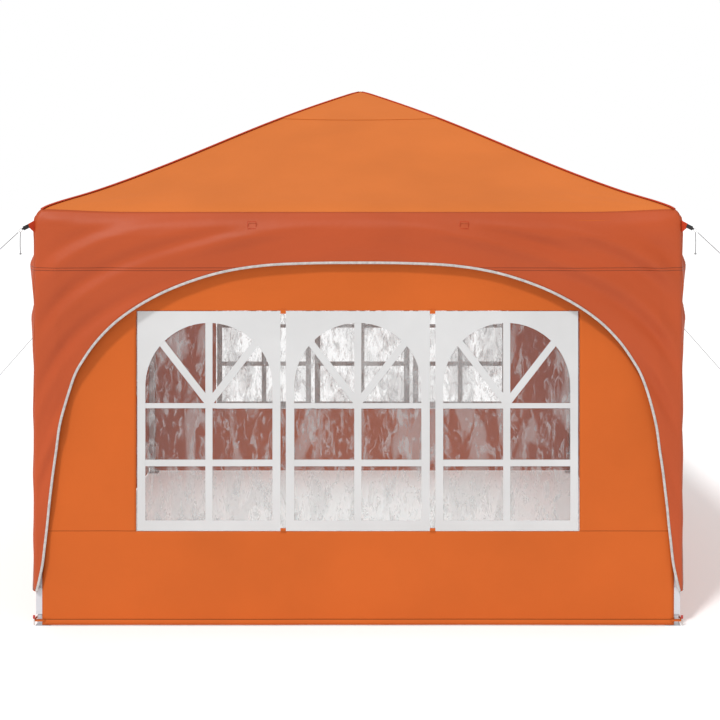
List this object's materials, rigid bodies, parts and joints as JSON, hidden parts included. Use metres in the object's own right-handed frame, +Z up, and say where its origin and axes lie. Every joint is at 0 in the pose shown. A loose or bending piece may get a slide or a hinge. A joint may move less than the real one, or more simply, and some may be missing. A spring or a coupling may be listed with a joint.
{
  "type": "pop-up canopy shelter",
  "caption": "Square pop-up shelter with a folding scissor frame, sloped cloth roof with arched skirts, windowed side walls and guy ropes.",
  "frame": {"origin": "on the ground at the middle of the four legs", "axes": "+Z up, front wall faces -Y, +X to the right seen from outside the front"},
  "size_m": [5.6506, 4.014, 2.5689],
  "materials": {
    "roof_cloth": "coated orange polyester",
    "skirt_cloth": "coated red-orange polyester",
    "wall_cloth": "coated orange polyester",
    "window_film": "clear flexible film with white printed frames",
    "frame_steel": "light grey powder coat",
    "leg_steel": "light grey powder coat",
    "joint_plastic": "black moulded nylon",
    "latch_red": "red moulded plastic",
    "guy_rope": "braided grey cord"
  },
  "bodies": {
    "hub": {"centre_hub": "joint_plastic", "canopy_skirt": "skirt_cloth", "window_sheets": "window_film"},
    "strut_front": {"hub_strut_front": "frame_steel"},
    "joint_front": {"truss_joint_front": "joint_plastic"},
    "corner_bar_front_left": {"front_truss_corner_bar_left": "frame_steel"},
    "slider_bar_front_left": {"front_truss_slider_bar_left": "frame_steel"},
    "leg_front_left": {"leg_front_left": "leg_steel", "guy_rope_front_left": "guy_rope", "wall_front": "wall_cloth"},
    "slider_front_left": {"slider_front_left": "joint_plastic"},
    "corner_bar_front_right": {"front_truss_corner_bar_right": "frame_steel"},
    "slider_bar_front_right": {"front_truss_slider_bar_right": "frame_steel"},
    "leg_front_right": {"leg_front_right": "leg_steel", "guy_rope_front_right": "guy_rope", "wall_right": "wall_cloth"},
    "slider_front_right": {"slider_front_right": "joint_plastic"},
    "strut_right": {"hub_strut_right": "frame_steel"},
    "joint_right": {"truss_joint_right": "joint_plastic"},
    "corner_bar_right_front": {"right_truss_corner_bar_front": "frame_steel"},
    "slider_bar_right_front": {"right_truss_slider_bar_front": "frame_steel"},
    "corner_bar_right_back": {"right_truss_corner_bar_back": "frame_steel"},
    "slider_bar_right_back": {"right_truss_slider_bar_back": "frame_steel"},
    "strut_back": {"hub_strut_back": "frame_steel"},
    "joint_back": {"truss_joint_back": "joint_plastic"},
    "corner_bar_back_right": {"back_truss_corner_bar_right": "frame_steel"},
    "slider_bar_back_right": {"back_truss_slider_bar_right": "frame_steel"},
    "leg_back_right": {"leg_back_right": "leg_steel", "guy_rope_back_right": "guy_rope", "wall_back": "wall_cloth"},
    "slider_back_right": {"slider_back_right": "joint_plastic"},
    "corner_bar_back_left": {"back_truss_corner_bar_left": "frame_steel"},
    "slider_bar_back_left": {"back_truss_slider_bar_left": "frame_steel"},
    "leg_back_left": {"leg_back_left": "leg_steel", "guy_rope_back_left": "guy_rope", "wall_left": "wall_cloth"},
    "slider_back_left": {"slider_back_left": "joint_plastic"},
    "strut_left": {"hub_strut_left": "frame_steel"},
    "joint_left": {"truss_joint_left": "joint_plastic"},
    "corner_bar_left_back": {"left_truss_corner_bar_back": "frame_steel"},
    "slider_bar_left_back": {"left_truss_slider_bar_back": "frame_steel"},
    "corner_bar_left_front": {"left_truss_corner_bar_front": "frame_steel"},
    "slider_bar_left_front": {"left_truss_slider_bar_front": "frame_steel"},
    "lower_leg_front_left": {"lower_leg_front_left": "leg_steel"},
    "leg_button_front_left": {"leg_button_front_left": "latch_red"},
    "slider_pin_front_left": {"slider_pin_front_left": "latch_red"},
    "roof_front": {"roof_panel_front": "roof_cloth"},
    "lower_leg_front_right": {"lower_leg_front_right": "leg_steel"},
    "leg_button_front_right": {"leg_button_front_right": "latch_red"},
    "slider_pin_front_right": {"slider_pin_front_right": "latch_red"},
    "roof_right": {"roof_panel_right": "roof_cloth"},
    "lower_leg_back_right": {"lower_leg_back_right": "leg_steel"},
    "leg_button_back_right": {"leg_button_back_right": "latch_red"},
    "slider_pin_back_right": {"slider_pin_back_right": "latch_red"},
    "roof_back": {"roof_panel_back": "roof_cloth"},
    "lower_leg_back_left": {"lower_leg_back_left": "leg_steel"},
    "leg_button_back_left": {"leg_button_back_left": "latch_red"},
    "slider_pin_back_left": {"slider_pin_back_left": "latch_red"},
    "roof_left": {"roof_panel_left": "roof_cloth"},
    "mast": {"peak_mast": "frame_steel"}
  },
  "joints": [
    {"name": "frame_fold", "type": "hinge", "parent": "hub", "child": "strut_front", "pos_m": [0, -0.032, 1.85], "axis": [1, 0, 0], "range_deg": [0, 74.8], "deforming": ["roof_panel_front", "roof_panel_right", "roof_panel_back", "roof_panel_left", "canopy_skirt", "window_sheets", "wall_front", "wall_right", "wall_back", "wall_left", "guy_rope_front_left", "guy_rope_front_right", "guy_rope_back_right", "guy_rope_back_left"]},
    {"name": "joint_level_front", "type": "hinge", "parent": "strut_front", "child": "joint_front", "pos_m": [0, -1.44, 1.55], "axis": [1, 0, 0], "range_deg": [-75.2, 0]},
    {"name": "corner_bar_swing_front_left", "type": "hinge", "parent": "joint_front", "child": "corner_bar_front_left", "pos_m": [0, -1.472, 1.55], "axis": [0, 1, 0], "range_deg": [0, 75.2]},
    {"name": "scissor_front_left", "type": "hinge", "parent": "corner_bar_front_left", "child": "slider_bar_front_left", "pos_m": [-0.704, -1.472, 1.7], "axis": [0, 1, 0], "range_deg": [-150, 0]},
    {"name": "leg_level_front_left", "type": "hinge", "parent": "corner_bar_front_left", "child": "leg_front_left", "pos_m": [-1.408, -1.472, 1.85], "axis": [0, 1, 0], "range_deg": [-75.2, 0]},
    {"name": "slider_level_front_left", "type": "hinge", "parent": "slider_bar_front_left", "child": "slider_front_left", "pos_m": [-1.408, -1.472, 1.55], "axis": [0, 1, 0], "range_deg": [0, 75.2]},
    {"name": "corner_bar_swing_front_right", "type": "hinge", "parent": "joint_front", "child": "corner_bar_front_right", "pos_m": [0, -1.472, 1.55], "axis": [0, -1, 0], "range_deg": [0, 75.2]},
    {"name": "scissor_front_right", "type": "hinge", "parent": "corner_bar_front_right", "child": "slider_bar_front_right", "pos_m": [0.704, -1.472, 1.7], "axis": [0, -1, 0], "range_deg": [-150, 0]},
    {"name": "leg_level_front_right", "type": "hinge", "parent": "corner_bar_front_right", "child": "leg_front_right", "pos_m": [1.408, -1.472, 1.85], "axis": [0, -1, 0], "range_deg": [-75.2, 0]},
    {"name": "slider_level_front_right", "type": "hinge", "parent": "slider_bar_front_right", "child": "slider_front_right", "pos_m": [1.408, -1.472, 1.55], "axis": [0, -1, 0], "range_deg": [0, 75.2]},
    {"name": "strut_swing_right", "type": "hinge", "parent": "hub", "child": "strut_right", "pos_m": [0.032, 0, 1.85], "axis": [0, 1, 0], "range_deg": [0, 75.2]},
    {"name": "joint_level_right", "type": "hinge", "parent": "strut_right", "child": "joint_right", "pos_m": [1.44, 0, 1.55], "axis": [0, 1, 0], "range_deg": [-75.2, 0]},
    {"name": "corner_bar_swing_right_front", "type": "hinge", "parent": "joint_right", "child": "corner_bar_right_front", "pos_m": [1.472, 0, 1.55], "axis": [-1, 0, 0], "range_deg": [0, 75.2]},
    {"name": "scissor_right_front", "type": "hinge", "parent": "corner_bar_right_front", "child": "slider_bar_right_front", "pos_m": [1.472, -0.704, 1.7], "axis": [-1, 0, 0], "range_deg": [-150, 0]},
    {"name": "corner_bar_swing_right_back", "type": "hinge", "parent": "joint_right", "child": "corner_bar_right_back", "pos_m": [1.472, 0, 1.55], "axis": [1, 0, 0], "range_deg": [0, 75.2]},
    {"name": "scissor_right_back", "type": "hinge", "parent": "corner_bar_right_back", "child": "slider_bar_right_back", "pos_m": [1.472, 0.704, 1.7], "axis": [1, 0, 0], "range_deg": [-150, 0]},
    {"name": "strut_swing_back", "type": "hinge", "parent": "hub", "child": "strut_back", "pos_m": [0, 0.032, 1.85], "axis": [-1, 0, 0], "range_deg": [0, 75.2]},
    {"name": "joint_level_back", "type": "hinge", "parent": "strut_back", "child": "joint_back", "pos_m": [0, 1.44, 1.55], "axis": [-1, 0, 0], "range_deg": [-75.2, 0]},
    {"name": "corner_bar_swing_back_right", "type": "hinge", "parent": "joint_back", "child": "corner_bar_back_right", "pos_m": [0, 1.472, 1.55], "axis": [0, -1, 0], "range_deg": [0, 75.2]},
    {"name": "scissor_back_right", "type": "hinge", "parent": "corner_bar_back_right", "child": "slider_bar_back_right", "pos_m": [0.704, 1.472, 1.7], "axis": [0, -1, 0], "range_deg": [-150, 0]},
    {"name": "leg_level_back_right", "type": "hinge", "parent": "corner_bar_back_right", "child": "leg_back_right", "pos_m": [1.408, 1.472, 1.85], "axis": [0, -1, 0], "range_deg": [-75.2, 0]},
    {"name": "slider_level_back_right", "type": "hinge", "parent": "slider_bar_back_right", "child": "slider_back_right", "pos_m": [1.408, 1.472, 1.55], "axis": [0, -1, 0], "range_deg": [0, 75.2]},
    {"name": "corner_bar_swing_back_left", "type": "hinge", "parent": "joint_back", "child": "corner_bar_back_left", "pos_m": [0, 1.472, 1.55], "axis": [0, 1, 0], "range_deg": [0, 75.2]},
    {"name": "scissor_back_left", "type": "hinge", "parent": "corner_bar_back_left", "child": "slider_bar_back_left", "pos_m": [-0.704, 1.472, 1.7], "axis": [0, 1, 0], "range_deg": [-150, 0]},
    {"name": "leg_level_back_left", "type": "hinge", "parent": "corner_bar_back_left", "child": "leg_back_left", "pos_m": [-1.408, 1.472, 1.85], "axis": [0, 1, 0], "range_deg": [-75.2, 0]},
    {"name": "slider_level_back_left", "type": "hinge", "parent": "slider_bar_back_left", "child": "slider_back_left", "pos_m": [-1.408, 1.472, 1.55], "axis": [0, 1, 0], "range_deg": [0, 75.2]},
    {"name": "strut_swing_left", "type": "hinge", "parent": "hub", "child": "strut_left", "pos_m": [-0.032, 0, 1.85], "axis": [0, -1, 0], "range_deg": [0, 75.2]},
    {"name": "joint_level_left", "type": "hinge", "parent": "strut_left", "child": "joint_left", "pos_m": [-1.44, 0, 1.55], "axis": [0, -1, 0], "range_deg": [-75.2, 0]},
    {"name": "corner_bar_swing_left_back", "type": "hinge", "parent": "joint_left", "child": "corner_bar_left_back", "pos_m": [-1.472, 0, 1.55], "axis": [1, 0, 0], "range_deg": [0, 75.2]},
    {"name": "scissor_left_back", "type": "hinge", "parent": "corner_bar_left_back", "child": "slider_bar_left_back", "pos_m": [-1.472, 0.704, 1.7], "axis": [1, 0, 0], "range_deg": [-150, 0]},
    {"name": "corner_bar_swing_left_front", "type": "hinge", "parent": "joint_left", "child": "corner_bar_left_front", "pos_m": [-1.472, 0, 1.55], "axis": [-1, 0, 0], "range_deg": [0, 75.2]},
    {"name": "scissor_left_front", "type": "hinge", "parent": "corner_bar_left_front", "child": "slider_bar_left_front", "pos_m": [-1.472, -0.704, 1.7], "axis": [-1, 0, 0], "range_deg": [-150, 0]},
    {"name": "height_front_left", "type": "slide", "parent": "leg_front_left", "child": "lower_leg_front_left", "axis": [0, 0, -1], "range_m": [0, 0.22]},
    {"name": "leg_button_press_front_left", "type": "slide", "parent": "leg_front_left", "child": "leg_button_front_left", "axis": [-1, 0, 0], "range_m": [0, 0.004], "stiffness_N_per_m": 600, "springref_m": -0.002},
    {"name": "slider_pin_pull_front_left", "type": "slide", "parent": "slider_front_left", "child": "slider_pin_front_left", "axis": [1, 0, 0], "range_m": [0, 0.008], "stiffness_N_per_m": 800, "springref_m": -0.002},
    {"name": "roof_drop_front", "type": "hinge", "parent": "leg_front_left", "child": "roof_front", "pos_m": [0, -1.499, 1.914], "axis": [-1, 0, 0], "range_deg": [0, 116.2]},
    {"name": "height_front_right", "type": "slide", "parent": "leg_front_right", "child": "lower_leg_front_right", "axis": [0, 0, -1], "range_m": [0, 0.22]},
    {"name": "leg_button_press_front_right", "type": "slide", "parent": "leg_front_right", "child": "leg_button_front_right", "axis": [0, -1, 0], "range_m": [0, 0.004], "stiffness_N_per_m": 600, "springref_m": -0.002},
    {"name": "slider_pin_pull_front_right", "type": "slide", "parent": "slider_front_right", "child": "slider_pin_front_right", "axis": [0, 1, 0], "range_m": [0, 0.008], "stiffness_N_per_m": 800, "springref_m": -0.002},
    {"name": "roof_drop_right", "type": "hinge", "parent": "leg_front_right", "child": "roof_right", "pos_m": [1.499, 0, 1.914], "axis": [0, -1, 0], "range_deg": [0, 116.2]},
    {"name": "height_back_right", "type": "slide", "parent": "leg_back_right", "child": "lower_leg_back_right", "axis": [0, 0, -1], "range_m": [0, 0.22]},
    {"name": "leg_button_press_back_right", "type": "slide", "parent": "leg_back_right", "child": "leg_button_back_right", "axis": [1, 0, 0], "range_m": [0, 0.004], "stiffness_N_per_m": 600, "springref_m": -0.002},
    {"name": "slider_pin_pull_back_right", "type": "slide", "parent": "slider_back_right", "child": "slider_pin_back_right", "axis": [-1, 0, 0], "range_m": [0, 0.008], "stiffness_N_per_m": 800, "springref_m": -0.002},
    {"name": "roof_drop_back", "type": "hinge", "parent": "leg_back_right", "child": "roof_back", "pos_m": [0, 1.499, 1.914], "axis": [1, 0, 0], "range_deg": [0, 116.2]},
    {"name": "height_back_left", "type": "slide", "parent": "leg_back_left", "child": "lower_leg_back_left", "axis": [0, 0, -1], "range_m": [0, 0.22]},
    {"name": "leg_button_press_back_left", "type": "slide", "parent": "leg_back_left", "child": "leg_button_back_left", "axis": [0, 1, 0], "range_m": [0, 0.004], "stiffness_N_per_m": 600, "springref_m": -0.002},
    {"name": "slider_pin_pull_back_left", "type": "slide", "parent": "slider_back_left", "child": "slider_pin_back_left", "axis": [0, -1, 0], "range_m": [0, 0.008], "stiffness_N_per_m": 800, "springref_m": -0.002},
    {"name": "roof_drop_left", "type": "hinge", "parent": "leg_back_left", "child": "roof_left", "pos_m": [-1.499, 0, 1.914], "axis": [0, 1, 0], "range_deg": [0, 116.2]},
    {"name": "mast_slide", "type": "slide", "parent": "hub", "child": "mast", "axis": [0, 0, 1], "range_m": [-0.64, 0]}
  ],
  "couplings": [
    {"joint": "joint_level_front", "follows": "frame_fold", "ratio": -1},
    {"joint": "corner_bar_swing_front_left", "follows": "frame_fold", "ratio": 1},
    {"joint": "scissor_front_left", "follows": "frame_fold", "ratio": -2},
    {"joint": "leg_level_front_left", "follows": "frame_fold", "ratio": -1},
    {"joint": "slider_level_front_left", "follows": "frame_fold", "ratio": 1},
    {"joint": "corner_bar_swing_front_right", "follows": "frame_fold", "ratio": 1},
    {"joint": "scissor_front_right", "follows": "frame_fold", "ratio": -2},
    {"joint": "leg_level_front_right", "follows": "frame_fold", "ratio": -1},
    {"joint": "slider_level_front_right", "follows": "frame_fold", "ratio": 1},
    {"joint": "strut_swing_right", "follows": "frame_fold", "ratio": 1},
    {"joint": "joint_level_right", "follows": "frame_fold", "ratio": -1},
    {"joint": "corner_bar_swing_right_front", "follows": "frame_fold", "ratio": 1},
    {"joint": "scissor_right_front", "follows": "frame_fold", "ratio": -2},
    {"joint": "corner_bar_swing_right_back", "follows": "frame_fold", "ratio": 1},
    {"joint": "scissor_right_back", "follows": "frame_fold", "ratio": -2},
    {"joint": "strut_swing_back", "follows": "frame_fold", "ratio": 1},
    {"joint": "joint_level_back", "follows": "frame_fold", "ratio": -1},
    {"joint": "corner_bar_swing_back_right", "follows": "frame_fold", "ratio": 1},
    {"joint": "scissor_back_right", "follows": "frame_fold", "ratio": -2},
    {"joint": "leg_level_back_right", "follows": "frame_fold", "ratio": -1},
    {"joint": "slider_level_back_right", "follows": "frame_fold", "ratio": 1},
    {"joint": "corner_bar_swing_back_left", "follows": "frame_fold", "ratio": 1},
    {"joint": "scissor_back_left", "follows": "frame_fold", "ratio": -2},
    {"joint": "leg_level_back_left", "follows": "frame_fold", "ratio": -1},
    {"joint": "slider_level_back_left", "follows": "frame_fold", "ratio": 1},
    {"joint": "strut_swing_left", "follows": "frame_fold", "ratio": 1},
    {"joint": "joint_level_left", "follows": "frame_fold", "ratio": -1},
    {"joint": "corner_bar_swing_left_back", "follows": "frame_fold", "ratio": 1},
    {"joint": "scissor_left_back", "follows": "frame_fold", "ratio": -2},
    {"joint": "corner_bar_swing_left_front", "follows": "frame_fold", "ratio": 1},
    {"joint": "scissor_left_front", "follows": "frame_fold", "ratio": -2},
    {"joint": "roof_drop_front", "follows": "frame_fold", "ratio": 1.5455},
    {"joint": "roof_drop_right", "follows": "frame_fold", "ratio": 1.5455},
    {"joint": "roof_drop_back", "follows": "frame_fold", "ratio": 1.5455},
    {"joint": "roof_drop_left", "follows": "frame_fold", "ratio": 1.5455},
    {"joint": "mast_slide", "follows": "frame_fold", "m_per_rad": -0.4864}
  ]
}
